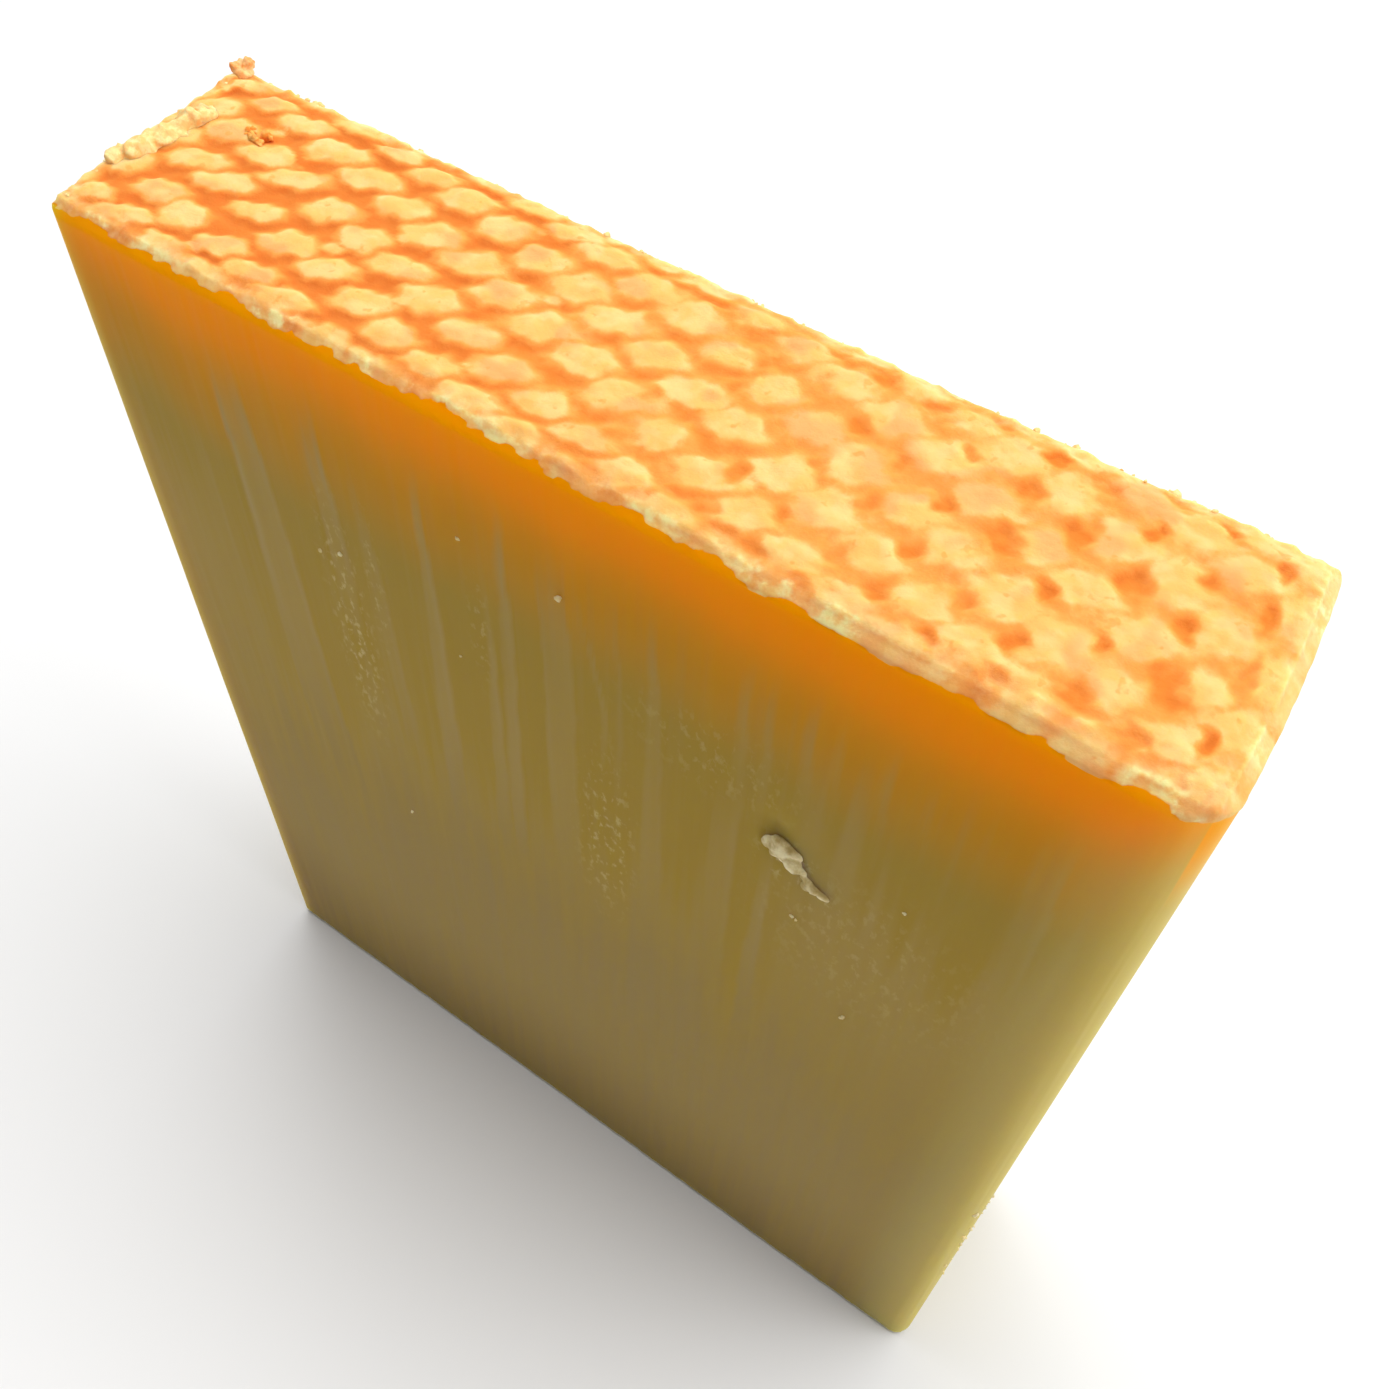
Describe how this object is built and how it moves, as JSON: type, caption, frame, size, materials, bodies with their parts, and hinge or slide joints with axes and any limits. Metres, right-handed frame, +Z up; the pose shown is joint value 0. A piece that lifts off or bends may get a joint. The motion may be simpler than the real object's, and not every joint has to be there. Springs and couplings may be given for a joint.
{
  "type": "hard cheese block",
  "caption": "Upright slab of hard alpine cheese with cut paste on its sides and a cloth-printed rind along its narrow top.",
  "frame": {"origin": "middle of the foot's bounding rectangle, on the surface that the block stands on", "axes": "+X along the rind to the right, +Y from the shown cut face to the back cut face, +Z up to the rind"},
  "size_m": [0.0928, 0.0232, 0.1133],
  "materials": {
    "cheese": "satin cut paste, dry mottled rind on top"
  },
  "bodies": {
    "root": {"gruyere_block": "cheese"}
  },
  "joints": []
}
